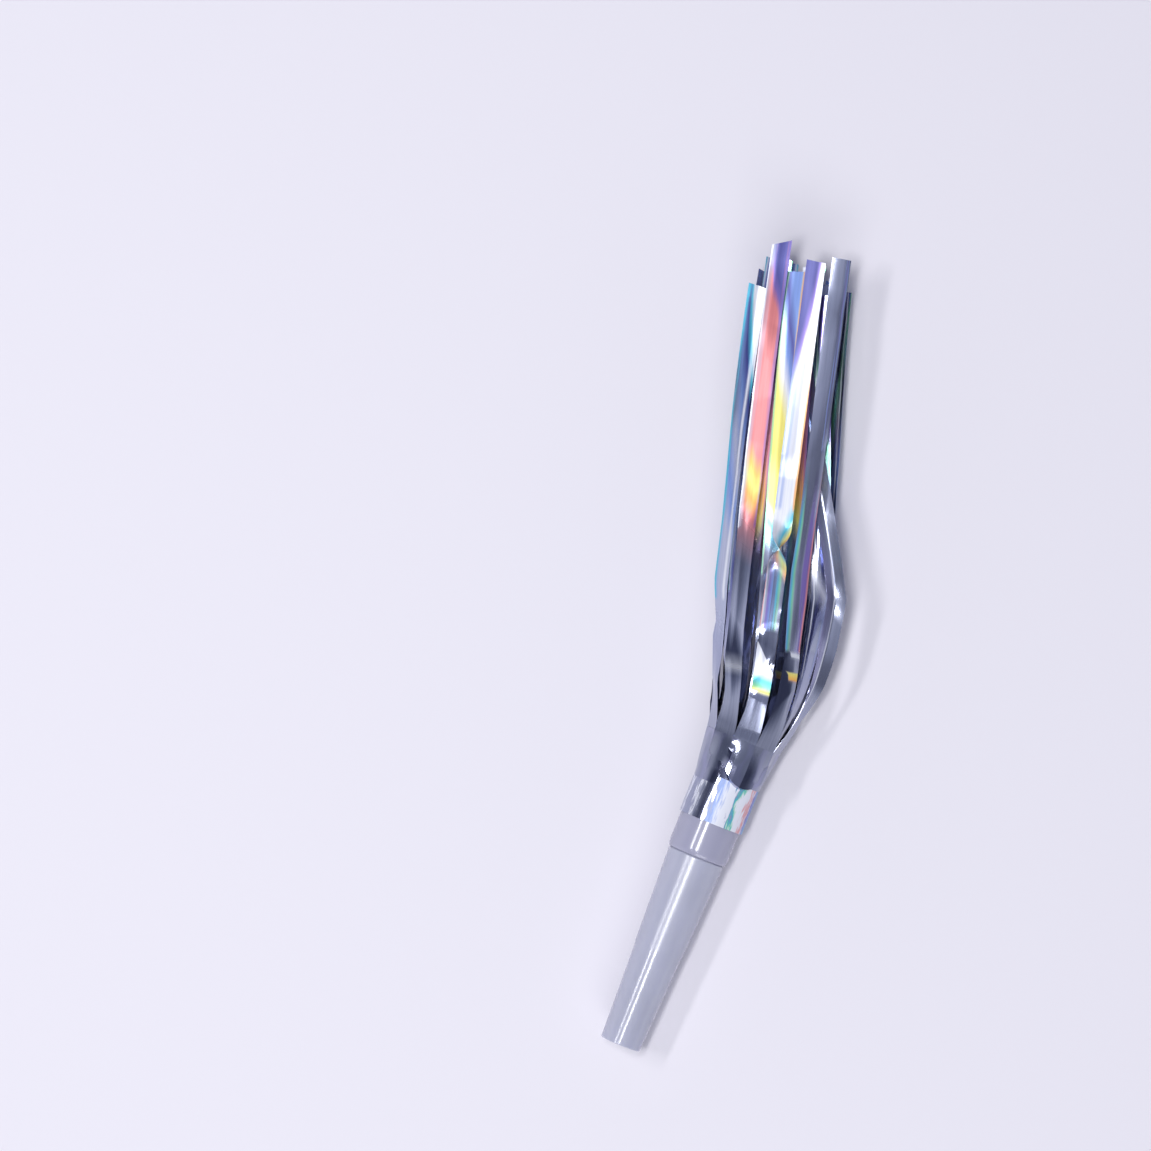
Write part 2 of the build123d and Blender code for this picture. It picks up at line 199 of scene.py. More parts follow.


# How a strip's foil is coloured. The run goes along the strip, and layers of bands across it
# lie over the run between two shares of the length. Both hold places from 0 to 1, a colour,
# and how much of the light the grating scatters there instead of mirroring it. The colours
# are painted light: the grating's colours thrown back from the lamps, painted highlights in
# 'white' and painted shade in 'shade'. The run slants across the strip towards its tip.
# Wedges cut it off and leave the painted shade there: share along, and the shares of the
# width that are cut from the right and from the left.
Layer = namedtuple("Layer", "start end bands")
NO_WEDGES = ((0.0, 0.0, 0.0), (1.0, 0.0, 0.0))
Finish = namedtuple("Finish", "slant run layers wedges", defaults=(NO_WEDGES,))
FINISHES = {
    "salmon": Finish(
        slant=0.20,
        run=(
            (0.00, "shade", 0.0), (0.13, "silver", 0.0), (0.15, "white", 0.4), (0.18, "silver", 0.0),
            (0.36, "silver", 0.1), (0.46, "salmon", 0.7), (0.50, "orange", 1.0), (0.53, "yellow", 1.0),
            (0.56, "orange", 0.9), (0.60, "salmon", 1.0), (0.92, "salmon", 1.0), (0.95, "violet", 0.8),
            (0.98, "indigo", 0.9), (1.00, "indigo", 0.9),
        ),
        layers=(
            Layer(start=0.42, end=1.2, bands=(
                (0.00, "white", 1.0), (0.06, "white", 1.0), (0.09, "shade", 0.8), (0.26, "shade", 0.4),
                (0.34, "salmon", 0.0), (0.80, "salmon", 0.0), (0.88, "violet", 0.6), (1.00, "violet", 0.7),
            )),
        ),
    ),
    "teal": Finish(
        slant=0.45,
        run=(
            (0.00, "shade", 0.0), (0.22, "silver", 0.1), (0.30, "silver", 0.9), (0.46, "silver", 0.9),
            (0.55, "blue", 0.6), (0.66, "silver", 0.3), (0.78, "blue", 0.6), (0.88, "indigo", 0.6),
            (0.95, "cyan", 0.8), (1.00, "white", 0.8),
        ),
        layers=(
            Layer(start=0.30, end=1.2, bands=(
                (0.00, "cyan", 0.9), (0.12, "cyan", 0.8), (0.22, "blue", 0.3), (0.35, "silver", 0.0),
                (0.62, "silver", 0.0), (0.72, "white", 0.9), (0.82, "white", 0.9), (0.90, "silver", 0.0),
            )),
        ),
    ),
    # Most of this strip is painted highlight: white where it flashes in the lamps, with a painted white glint
    # in the wedge at its fold
    "white": Finish(
        slant=0.50,
        run=(
            (0.00, "shade", 0.0), (0.104, "silver", 0.0), (0.108, "yellow", 1.0), (0.118, "green", 0.9),
            (0.132, "cyan", 0.8), (0.145, "white", 1.0), (0.24, "white", 0.9), (0.25, "silver", 0.2),
            (0.36, "silver", 0.2), (0.385, "orange", 1.0), (0.405, "yellow", 1.0), (0.43, "cyan", 0.9),
            (0.47, "white", 1.0), (0.86, "white", 0.9), (0.92, "violet", 0.9), (1.00, "indigo", 1.0),
        ),
        layers=(
            Layer(start=0.23, end=0.32, bands=(
                (0.00, "salmon", 1.0), (0.07, "white", 1.0), (0.12, "shade", 0.6), (0.24, "violet", 1.0),
                (0.40, "blue", 1.0), (0.54, "blue", 1.0), (0.66, "cyan", 0.9), (0.78, "green", 0.9),
                (0.90, "silver", 0.4), (1.00, "silver", 0.2),
            )),
            Layer(start=0.48, end=0.72, bands=(
                (0.00, "orange", 0.9), (0.07, "orange", 0.7), (0.13, "white", 0.0), (0.55, "white", 0.0),
                (0.68, "blue", 0.5), (1.00, "blue", 0.8),
            )),
        ),
        wedges=(
            (0.0, 0.0, 0.0), (0.145, 0.0, 0.0), (0.21, 1.0, 0.0), (0.215, 1.2, 0.0), (0.25, 1.2, 0.0),
            (0.26, 0.0, 0.0),
        ),
    ),
    "yellow": Finish(
        slant=0.30,
        run=(
            (0.00, "shade", 0.0), (0.40, "silver", 0.1), (0.46, "cyan", 0.6), (0.50, "yellow", 0.9),
            (0.72, "yellow", 1.0), (0.80, "white", 0.8), (0.86, "blue", 0.6), (0.92, "indigo", 0.9),
            (1.00, "blue", 0.9),
        ),
        layers=(
            Layer(start=0.35, end=1.2, bands=(
                (0.00, "green", 0.8), (0.08, "green", 0.7), (0.14, "yellow", 0.0), (0.80, "yellow", 0.0),
                (0.88, "orange", 0.9), (0.94, "shade", 0.8), (1.00, "shade", 0.8),
            )),
        ),
    ),
    "orange": Finish(
        slant=0.30,
        run=(
            (0.00, "shade", 0.0), (0.44, "silver", 0.1), (0.50, "yellow", 0.9), (0.56, "orange", 1.0),
            (0.66, "salmon", 0.9), (0.78, "salmon", 0.8), (0.86, "violet", 0.6), (1.00, "indigo", 0.8),
        ),
        layers=(
            Layer(start=0.40, end=1.2, bands=(
                (0.00, "white", 0.9), (0.10, "white", 0.8), (0.20, "silver", 0.0), (0.70, "silver", 0.0),
                (0.85, "violet", 0.6), (1.00, "violet", 0.7),
            )),
        ),
    ),
    "indigo": Finish(
        slant=0.35,
        run=(
            (0.00, "shade", 0.0), (0.20, "silver", 0.0), (0.35, "indigo", 0.4), (0.46, "silver", 0.1),
            (0.60, "indigo", 0.6), (0.72, "silver", 0.1), (0.84, "indigo", 0.8), (1.00, "blue", 0.8),
        ),
        layers=(
            Layer(start=0.30, end=1.2, bands=(
                (0.00, "cyan", 0.9), (0.10, "white", 0.9), (0.18, "blue", 0.4), (0.30, "silver", 0.0),
            )),
        ),
    ),
    "banded": Finish(
        slant=0.10,
        run=(
            (0.00, "shade", 0.0), (0.136, "shade", 0.0), (0.140, "orange", 1.0), (0.152, "yellow", 1.0),
            (0.156, "shade", 0.0), (0.183, "shade", 0.0), (0.186, "white", 1.0), (0.193, "white", 1.0),
            (0.197, "silver", 0.2), (1.00, "silver", 0.3),
        ),
        layers=(
            Layer(start=0.19, end=0.46, bands=(
                (0.00, "blue", 0.9), (0.10, "cyan", 0.9), (0.20, "green", 0.9), (0.34, "silver", 0.3),
                (0.50, "silver", 0.2), (0.62, "violet", 0.9), (0.86, "violet", 1.0), (0.94, "salmon", 0.8),
                (1.00, "salmon", 0.8),
            )),
            Layer(start=0.60, end=1.2, bands=(
                (0.00, "silver", 0.0), (0.70, "silver", 0.0), (0.77, "blue", 0.8), (0.84, "violet", 0.6),
                (0.91, "blue", 0.8), (0.97, "silver", 0.1), (1.00, "silver", 0.1),
            )),
        ),
        wedges=(
            (0.0, 0.0, 0.0), (0.134, 0.0, 0.5), (0.15, 0.0, 0.4), (0.16, 0.0, 0.0), (0.182, 0.0, 0.45),
            (0.195, 0.0, 0.35), (0.198, 0.0, 0.0),
        ),
    ),
    "folded": Finish(
        slant=0.20,
        run=((0.00, "shade", 0.2), (0.60, "silver", 0.3), (0.72, "blue", 0.4), (0.84, "silver", 0.2)),
        layers=(
            Layer(start=0.06, end=0.70, bands=(
                (0.00, "violet", 0.4), (0.36, "violet", 0.2), (0.40, "white", 0.9), (0.45, "white", 0.9),
                (0.49, "silver", 0.0), (1.00, "silver", 0.0),
            )),
        ),
    ),
    "silver": Finish(
        slant=0.60,
        run=(
            (0.00, "shade", 0.0), (0.31, "silver", 0.0), (0.36, "white", 0.5), (0.41, "silver", 0.0),
            (0.55, "blue", 0.3), (0.64, "silver", 0.0), (0.76, "green", 0.3), (0.82, "silver", 0.0),
            (0.90, "violet", 0.3), (1.00, "silver", 0.1),
        ),
        layers=(
            Layer(start=0.15, end=1.2, bands=(
                (0.00, "silver", 0.0), (0.12, "silver", 0.0), (0.15, "white", 0.9), (0.20, "white", 0.9),
                (0.23, "silver", 0.0), (0.70, "silver", 0.0), (0.86, "blue", 0.3), (1.00, "violet", 0.4),
            )),
        ),
    ),
}

# Colours round the foil band from its seam, the way the last turn was wound: share of
# both turns, colour and scatter. The first turn is under the last and stays plain. The white
# stretches are painted highlights, the 'shade' stretches painted shade, and the grating's
# colours between them are painted light as well.
BAND_RUN = (
    (0.000, "white", 0.6), (0.001, "white", 0.7), (0.003, "shade", 1.0), (0.014, "blue", 1.0),
    (0.032, "white", 1.0), (0.056, "white", 1.0), (0.060, "indigo", 0.7), (0.063, "cyan", 0.9),
    (0.068, "green", 0.8), (0.072, "white", 1.0), (0.096, "white", 1.0), (0.104, "salmon", 0.8),
    (0.112, "white", 0.9), (0.120, "violet", 0.8), (0.130, "blue", 0.9), (0.142, "cyan", 0.7),
    (0.160, "silver", 0.0), (0.410, "shade", 0.1), (0.424, "white", 0.8), (0.432, "shade", 0.1),
    (0.452, "shade", 0.1), (0.464, "white", 0.7), (0.474, "shade", 0.1), (0.500, "silver", 0.0),
)

# How each strip lies and is creased, one row a slit going round from the foil's seam.
# The first five are the part's own: place across and height at the tip as shares of the
# plume's reach and rise, roll in degrees, share of length gained, share of reach bowed.
# Then come its finish, a lengthwise fold (place from -1 to 1 and depth in millimetres),
# the curl of its edges in millimetres, a kink (share along and rise in millimetres) and
# a twist (share along and degrees). The last is the part's share by which it lies flat.
Strip = namedtuple(
    "Strip",
    "across height roll gain bow finish fold curl kink twist turned_by",
    defaults=((0.5, 0), 1.0),
)
OUTER_STRIPS = (
    Strip(-0.64, 0.92, 0, 0.035, 0.24, "salmon", (0.25, 0.14), 0.10, (0.16, 0.9)),
    Strip(-0.94, 0.36, 18, -0.060, 0.20, "teal", (-0.20, 0.18), 0.08, (0.13, 0.7)),
    Strip(-0.80, -0.52, -22, -0.025, 0.14, "silver", (0.30, 0.15), 0.05, (0.12, 0.6)),
    Strip(-0.44, -0.98, 0, 0.0, 0.06, "indigo", (-0.30, 0.05), 0.02, (0.14, 0.0)),
    Strip(-0.02, -0.98, 0, -0.040, 0.0, "silver", (0.20, 0.05), 0.02, (0.10, 0.0)),
    Strip(0.42, -0.98, 0, -0.020, 0.06, "teal", (0.10, 0.05), 0.02, (0.15, 0.0)),
    Strip(0.52, -0.44, 20, -0.050, 0.30, "silver", (-0.10, 0.18), 0.06, (0.18, 0.5)),
    Strip(-0.20, -0.03, 10, -0.045, 0.72, "folded", (0.10, -0.47), 0.05, (0.35, 0.6), turned_by=0.40),
    Strip(0.40, 0.80, -10, 0.012, 0.05, "banded", (-0.45, 0.10), -0.12, (0.175, 1.0)),
    Strip(-0.03, 1.04, 8, 0.0, 0.10, "white", (0.35, 0.14), 0.12, (0.11, 1.1), (0.40, 180)),
)
INNER_STRIPS = (
    Strip(-0.56, 0.34, -10, -0.035, 0.10, "orange", (0.20, 0.08), 0.03, (0.20, 0.2)),
    Strip(-0.70, 0.0, -16, 0.0, 0.08, "indigo", (-0.30, 0.08), 0.03, (0.17, 0.2)),
    Strip(-0.56, -0.32, 14, 0.012, 0.06, "silver", (0.30, 0.08), 0.03, (0.22, 0.2)),
    Strip(-0.34, -0.66, -8, -0.025, 0.03, "salmon", (0.10, 0.08), 0.03, (0.16, 0.2)),
    Strip(0.02, -0.58, 8, 0.0, 0.0, "silver", (-0.20, 0.08), 0.03, (0.19, 0.2)),
    Strip(0.38, -0.68, -8, -0.030, 0.04, "indigo", (0.20, 0.08), 0.03, (0.21, 0.2)),
    Strip(0.26, -0.33, -12, -0.040, 0.12, "silver", (-0.10, 0.08), 0.03, (0.15, 0.2)),
    Strip(0.26, -0.14, 6, -0.060, 0.36, "silver", (0.30, 0.15), 0.03, (0.18, 0.2), turned_by=0.50),
    Strip(-0.06, 0.22, 10, -0.012, 0.06, "orange", (-0.20, 0.08), 0.03, (0.20, 0.2)),
    Strip(-0.32, 0.60, 0, -0.024, 0.0, "yellow", (0.20, 0.08), 0.03, (0.16, 0.2)),
)


# The colour inputs of a Mix node, whose names A and B stand for other kinds of data too
MIX_A, MIX_B = 6, 7


def set_inputs(node, inputs):
    """Set or link a node's inputs. A node given as a value is linked by its first live output."""
    for name, value in inputs.items():
        if isinstance(value, bpy.types.Node):
            value = next(output for output in value.outputs if output.enabled)
        if isinstance(value, bpy.types.NodeSocket):
            node.id_data.links.new(value, node.inputs[name])
        else:
            node.inputs[name].default_value = value


def add_node(tree, kind, inputs=None, stops=(), **settings):
    """Add a shader node with its settings and its ramp's stops, and set or link its inputs."""
    node = tree.nodes.new("ShaderNode" + kind)
    for name, value in settings.items():
        setattr(node, name, value)
    set_inputs(node, inputs or {})
    if stops:
        elements = node.color_ramp.elements
        while len(elements) < len(stops):
            elements.new(1.0)
        for element, (place, shade) in zip(elements, stops):
            element.position = place
            element.color = shade
    return node


def new_material(name):
    """A node material with its shader, ready for links."""
    material = bpy.data.materials.new(name)
    material.use_nodes = True
    tree = material.node_tree
    return material, tree, tree.nodes["Principled BSDF"]


def dimmed(tint, share):
    """A colour at a share of its brightness."""
    return [channel * share for channel in tint[:3]] + [1.0]


def frosted_polypropylene(colours, sizes):
    """Moulded polypropylene, polished at the lip and spark-frosted behind it.

    The lip throws a sharp streak of light, the frosted part a broader one, and light that
    sinks in makes the shaded side glow.
    """
    material, tree, shader = new_material("frosted_polypropylene")
    place = add_node(tree, "TexCoord").outputs["Object"]
    along = add_node(tree, "SeparateXYZ", {"Vector": place}).outputs["Y"]
    step_end = sizes.lip_length + sizes.lip_step_length
    frosting = add_node(
        tree, "MapRange", {"Value": along, "From Min": sizes.lip_length, "From Max": step_end}
    )
    # Spark marks are about 0.05 mm across and are drawn at 0.25 mm, so that they show
    grit = add_node(tree, "TexNoise", {"Vector": place, "Scale": 1 / (0.25 * MM), "Detail": 3.0})
    # Flow marks from moulding are some 6 mm long
    flow = add_node(tree, "TexNoise", {"Vector": place, "Scale": 1 / (6 * MM), "Detail": 2.0})
    cloud = add_node(
        tree,
        "Mix",
        {"Factor": flow, MIX_A: colours.frosted, MIX_B: dimmed(colours.frosted, 0.86)},
        data_type="RGBA",
    )
    roughness = add_node(tree, "MapRange", {"Value": frosting, "To Min": 0.18, "To Max": 0.26})
    depth = add_node(tree, "MapRange", {"Value": frosting, "To Min": 0.05, "To Max": 0.35})
    bump = add_node(tree, "Bump", {"Height": grit, "Strength": depth, "Distance": 0.03 * MM})
    set_inputs(
        shader,
        {
            "Base Color": cloud,
            "Roughness": roughness,
            "IOR": 1.49,
            "Specular IOR Level": 1.0,
            "Subsurface Weight": 0.35,
            "Subsurface Radius": (1.0, 1.0, 1.25),
            "Subsurface Scale": 1.2 * MM,
            "Normal": bump,
        },
    )
    return material


def clear_polypropylene(colours):
    """Moulded polypropylene without frosting: clearer, with sharp lines of light."""
    material, tree, shader = new_material("clear_polypropylene")
    place = add_node(tree, "TexCoord").outputs["Object"]
    # Draw marks from the mould's core run along the tube, about 0.4 mm apart
    marks = add_node(
        tree, "Mapping", {"Vector": place, "Scale": (1 / (0.4 * MM), 1 / (9 * MM), 1 / (0.4 * MM))}
    )
    drawn = add_node(tree, "TexNoise", {"Vector": marks, "Scale": 1.0, "Detail": 2.0})
    roughness = add_node(tree, "MapRange", {"Value": drawn, "To Min": 0.10, "To Max": 0.22})
    bump = add_node(tree, "Bump", {"Height": drawn, "Strength": 0.2, "Distance": 0.02 * MM})
    set_inputs(
        shader,
        {
            "Base Color": colours.barrel,
            "Roughness": roughness,
            "IOR": 1.49,
            "Specular IOR Level": 0.8,
            "Transmission Weight": 0.25,
            "Normal": bump,
        },
    )
    return material


def moulded_polystyrene(colours):
    """Satin polystyrene of the reed's holder and wedge, with faint flow marks."""
    material, tree, shader = new_material("moulded_polystyrene")
    place = add_node(tree, "TexCoord").outputs["Object"]
    # Flow marks on so small a moulding are about 1.5 mm long
    flow = add_node(tree, "TexNoise", {"Vector": place, "Scale": 1 / (1.5 * MM), "Detail": 3.0})
    roughness = add_node(tree, "MapRange", {"Value": flow, "To Min": 0.32, "To Max": 0.46})
    bump = add_node(tree, "Bump", {"Height": flow, "Strength": 0.15, "Distance": 0.03 * MM})
    set_inputs(shader, {"Base Color": colours.reed, "Roughness": roughness, "IOR": 1.59, "Normal": bump})
    return material


def polyester_film(colours):
    """Clear hard polyester film of the tongue, cut from a roll with fine draw lines."""
    material, tree, shader = new_material("polyester_film")
    place = add_node(tree, "TexCoord").outputs["Object"]
    # Draw lines are about 0.2 mm apart and 5 mm long
    lines = add_node(
        tree, "Mapping", {"Vector": place, "Scale": (1 / (0.2 * MM), 1 / (5 * MM), 1 / (0.2 * MM))}
    )
    drawn = add_node(tree, "TexNoise", {"Vector": lines, "Scale": 1.0})
    roughness = add_node(tree, "MapRange", {"Value": drawn, "To Min": 0.06, "To Max": 0.16})
    set_inputs(
        shader,
        {
            "Base Color": colours.reed_film,
            "Roughness": roughness,
            "IOR": 1.64,
            "Transmission Weight": 0.5,
        },
    )
    return material


def acrylic_tape(colours):
    """Matt double-sided tape: tissue carrier that shows through the acrylic glue."""
    material, tree, shader = new_material("acrylic_tape")
    place = add_node(tree, "TexCoord").outputs["Object"]
    # Clumps of tissue fibre are about 0.8 mm across
    tissue = add_node(tree, "TexNoise", {"Vector": place, "Scale": 1 / (0.8 * MM), "Detail": 4.0})
    mottled = add_node(
        tree,
        "Mix",
        {"Factor": tissue, MIX_A: colours.tape, MIX_B: dimmed(colours.tape, 0.8)},
        data_type="RGBA",
    )
    set_inputs(shader, {"Base Color": mottled, "Roughness": 0.55, "IOR": 1.47})
    return material


def foil_and_painted_light_stops(run, colours):
    """Stops for a ramp: the foil's colours with painted highlights, painted shade and the grating's painted
    colours, with the scattered share as alpha.
    """
    return [(place, [*getattr(colours, shade)[:3], scatter]) for place, shade, scatter in run]


def strip_foil(name, finish, colours, sizes):
    """Holographic foil: metallised polyester film, embossed with a fine grating and slit.

    Where it mirrors it is blue-grey with hard glints of the lamps. More glints are painted in
    white, shade is painted in a darker grey where it turns away, and the bright colours that
    the grating scatters from the lamps are painted too, in a run along the strip and in bands
    across it.
    """
    # Soft edges: of a wedge as a share of the width, of a layer as shares of the length
    cut_edge = 0.06
    fade_in, fade_out = 0.01, 0.12
    material, tree, shader = new_material(name)
    place = add_node(tree, "TexCoord").outputs["UV"]
    part = add_node(tree, "SeparateXYZ", {"Vector": place})
    across, along = part.outputs["X"], part.outputs["Y"]
    wide, long = sizes.strip_width, sizes.strip_length
    # Streaks of the stretched film are about 1 mm wide and 30 mm long
    streak_place = add_node(
        tree, "Mapping", {"Vector": place, "Scale": (wide / (1.0 * MM), long / (30 * MM), 1.0)}
    )
    streak = add_node(tree, "TexNoise", {"Vector": streak_place, "Scale": 1.0})
    # The run slants and drifts with the streaks, the more the nearer it comes to the tip
    lean = add_node(
        tree, "Math", {0: across, 1: finish.slant, 2: -finish.slant / 2}, operation="MULTIPLY_ADD"
    )
    drift = add_node(tree, "Math", {0: streak, 1: 0.10, 2: lean}, operation="MULTIPLY_ADD")
    square = add_node(tree, "Math", {0: along, 1: along}, operation="MULTIPLY")
    run_place = add_node(tree, "Math", {0: drift, 1: square, 2: along}, operation="MULTIPLY_ADD")
    # The run paints the foil's colours along the strip, with painted highlights and painted shade
    run = add_node(tree, "ValToRGB", {"Fac": run_place}, stops=foil_and_painted_light_stops(finish.run, colours))
    # Wedges leave mirror in the painted shade colour beside a diagonal
    cut = add_node(
        tree,
        "ValToRGB",
        {"Fac": along},
        stops=[(share, [right, right, right, left]) for share, right, left in finish.wedges],
    )
    right_reach = add_node(tree, "Math", {0: cut, 1: across}, operation="ADD")
    right_kept = add_node(
        tree,
        "MapRange",
        {"Value": right_reach, "From Min": 1.0, "From Max": 1 + cut_edge, "To Min": 1.0, "To Max": 0.0},
    )
    left_reach = add_node(tree, "Math", {0: across, 1: cut.outputs["Alpha"]}, operation="SUBTRACT")
    left_kept = add_node(
        tree, "MapRange", {"Value": left_reach, "From Min": -cut_edge, "From Max": 0.0}
    )
    uncut = add_node(tree, "Math", {0: right_kept, 1: left_kept}, operation="MULTIPLY")
    scatter = add_node(tree, "Math", {0: run.outputs["Alpha"], 1: uncut}, operation="MULTIPLY")
    foil_and_painted_light = add_node(
        tree, "Mix", {"Factor": uncut, MIX_A: colours.shade, MIX_B: run}, data_type="RGBA"
    )
    # Bands wander across by up to half a millimetre, every 20 mm or so
    wander_place = add_node(
        tree, "Mapping", {"Vector": place, "Scale": (0.4, long / (20 * MM), 1.0)}
    )
    wander = add_node(tree, "TexNoise", {"Vector": wander_place, "Scale": 1.0})
    wandered = add_node(tree, "Math", {0: wander, 1: 0.30, 2: -0.15}, operation="MULTIPLY_ADD")
    band_place = add_node(tree, "Math", {0: wandered, 1: across}, operation="ADD")
    # They fade where a streak of plain mirror crosses them
    patchy = add_node(
        tree, "MapRange", {"Value": streak, "From Min": 0.35, "From Max": 0.50, "To Min": 0.15}
    )
    # Layers of bands paint more of the grating's colours, painted highlights and painted shade
    for layer in finish.layers:
        bands = add_node(
            tree, "ValToRGB", {"Fac": band_place}, stops=foil_and_painted_light_stops(layer.bands, colours)
        )
        begun = add_node(
            tree, "MapRange", {"Value": along, "From Min": layer.start, "From Max": layer.start + fade_in}
        )
        going_on = add_node(
            tree,
            "MapRange",
            {
                "Value": along,
                "From Min": layer.end,
                "From Max": layer.end + fade_out,
                "To Min": 1.0,
                "To Max": 0.0,
            },
        )
        shown = add_node(tree, "Math", {0: begun, 1: going_on}, operation="MULTIPLY")
        kept = add_node(tree, "Math", {0: shown, 1: patchy}, operation="MULTIPLY")
        cover = add_node(tree, "Math", {0: bands.outputs["Alpha"], 1: kept}, operation="MULTIPLY")
        foil_and_painted_light = add_node(
            tree, "Mix", {"Factor": cover, MIX_A: foil_and_painted_light, MIX_B: bands}, data_type="RGBA"
        )
        scatter = add_node(tree, "Math", {0: scatter, 1: cover}, operation="MAXIMUM")
    # Drawn lines are finer than 0.1 mm and are drawn at 0.35 mm, so that they show
    line_place = add_node(
        tree, "Mapping", {"Vector": place, "Scale": (wide / (0.35 * MM), long / (12 * MM), 1.0)}
    )
    lines = add_node(tree, "TexNoise", {"Vector": line_place, "Scale": 1.0, "Detail": 3.0})
    tone = add_node(tree, "MapRange", {"Value": lines, "To Min": 0.76, "To Max": 1.12})
    toned = add_node(tree, "VectorMath", {0: foil_and_painted_light, "Scale": tone}, operation="SCALE")
    mirror = add_node(tree, "MapRange", {"Value": scatter, "To Min": 1.0, "To Max": 0.2})
    roughness = add_node(tree, "MapRange", {"Value": scatter, "To Min": 0.12, "To Max": 0.38})
    bump = add_node(tree, "Bump", {"Height": lines, "Strength": 0.25, "Distance": 0.02 * MM})
    set_inputs(shader, {"Base Color": toned, "Metallic": mirror, "Roughness": roughness, "Normal": bump})
    return material


def band_foil(colours):
    """The same foil glued round the barrel: white flashes broken by the grating's colours."""
    material, tree, shader = new_material("glued_holographic_foil")
    place = add_node(tree, "TexCoord").outputs["UV"]
    round_share = add_node(tree, "SeparateXYZ", {"Vector": place}).outputs["X"]
    # Wrinkles of the glued film are some 0.5 mm wide and 3 mm long. A turn is about 35 mm round
    both_turns, band_length = 2 * 35 * MM, band_box[1].y - band_box[0].y
    wrinkle_scale = (both_turns / (0.5 * MM), band_length / (3 * MM), 1.0)
    wrinkle_place = add_node(tree, "Mapping", {"Vector": place, "Scale": wrinkle_scale})
    wrinkles = add_node(tree, "TexNoise", {"Vector": wrinkle_place, "Scale": 1.0, "Detail": 3.0})
    drift = add_node(tree, "Math", {0: wrinkles, 1: 0.06, 2: -0.03}, operation="MULTIPLY_ADD")
    round_place = add_node(tree, "Math", {0: round_share, 1: drift}, operation="ADD")
    # Painted highlights, painted shade and the grating's painted colours run round the band
    foil_and_painted_light = add_node(
        tree, "ValToRGB", {"Fac": round_place}, stops=foil_and_painted_light_stops(BAND_RUN, colours)
    )
    scatter = foil_and_painted_light.outputs["Alpha"]
    mirror = add_node(tree, "MapRange", {"Value": scatter, "To Min": 1.0, "To Max": 0.06})
    roughness = add_node(tree, "MapRange", {"Value": scatter, "To Min": 0.12, "To Max": 0.42})
    bump = add_node(tree, "Bump", {"Height": wrinkles, "Strength": 0.25, "Distance": 0.04 * MM})
    set_inputs(shader, {"Base Color": foil_and_painted_light, "Metallic": mirror, "Roughness": roughness, "Normal": bump})
    return material


def crumpled_foil(colours):
    """The same foil crumpled past the barrel: a mirror in the painted shade colour, duller towards a facet's
    edge.
    """
    material, tree, shader = new_material("crumpled_holographic_foil")
    place = add_node(tree, "TexCoord").outputs["Object"]
    # Facets between creases are some 2 mm across and drawn out to 5 mm along the tube
    facet_place = add_node(
        tree, "Mapping", {"Vector": place, "Scale": (1 / (2 * MM), 1 / (5 * MM), 1 / (2 * MM))}
    )
    facets = add_node(tree, "TexVoronoi", {"Vector": facet_place, "Scale": 1.0}, feature="F1")
    # Painted shade: the mirror's colour is the painted shade, darker part way to a facet's edge and tinted
    # violet further out
    tint = add_node(
        tree,
        "ValToRGB",
        {"Fac": facets},
        stops=(
            (0.0, colours.shade),
            (0.45, dimmed(colours.shade, 0.85)),
            (0.70, [c * 0.85 + 0.15 * v for c, v in zip(colours.shade, colours.violet)]),
            (1.0, colours.shade),
        ),
    )
    # Fine crinkles are about 0.4 mm apart
    crinkle = add_node(tree, "TexNoise", {"Vector": place, "Scale": 1 / (0.4 * MM), "Detail": 2.0})
    roughness = add_node(tree, "MapRange", {"Value": crinkle, "To Min": 0.05, "To Max": 0.12})
    bump = add_node(tree, "Bump", {"Height": crinkle, "Strength": 0.12, "Distance": 0.03 * MM})
    set_inputs(shader, {"Base Color": tint, "Metallic": 1.0, "Roughness": roughness, "Normal": bump})
    return material


def apply_modifier(piece, kind, **settings):
    """Add a modifier to the piece and apply it."""
    bpy.context.view_layer.objects.active = piece
    modifier = piece.modifiers.new(kind.title(), kind)
    for name, value in settings.items():
        setattr(modifier, name, value)
    bpy.ops.object.modifier_apply(modifier=modifier.name)


def turn_piece(name, stations, sides, edge_round):
    """Extrude a ring from station to station, (radius, y), into a closed turned wall."""
    bpy.ops.object.select_all(action="DESELECT")
    radius, y = stations[0]
    bpy.ops.mesh.primitive_circle_add(
        vertices=sides, radius=radius, location=(0, y, 0), rotation=(radians(90), 0, 0)
    )
    piece = bpy.context.object
    piece.name = name
    bpy.ops.object.transform_apply(location=True, rotation=True, scale=True)
    bpy.ops.object.mode_set(mode="EDIT")
    bpy.ops.mesh.select_all(action="SELECT")
    for next_radius, next_y in (*stations[1:], stations[0]):
        bpy.ops.mesh.extrude_region_move(TRANSFORM_OT_translate={"value": (0, next_y - y, 0)})
        ratio = next_radius / radius
        bpy.ops.transform.resize(value=(ratio, 1, ratio), center_override=(0, next_y, 0))
        radius, y = next_radius, next_y
    bpy.ops.mesh.select_all(action="SELECT")
    bpy.ops.mesh.remove_doubles(threshold=0.001 * MM)
    bpy.ops.mesh.normals_make_consistent(inside=False)
    bpy.ops.object.mode_set(mode="OBJECT")
    apply_modifier(
        piece, "BEVEL", width=edge_round, segments=3, limit_method="ANGLE", angle_limit=radians(20)
    )
    bpy.ops.object.shade_smooth_by_angle(angle=radians(35))
    # Long faces keep their own normals, so that lines of light stay straight
    apply_modifier(piece, "WEIGHTED_NORMAL", keep_sharp=True)
    return piece


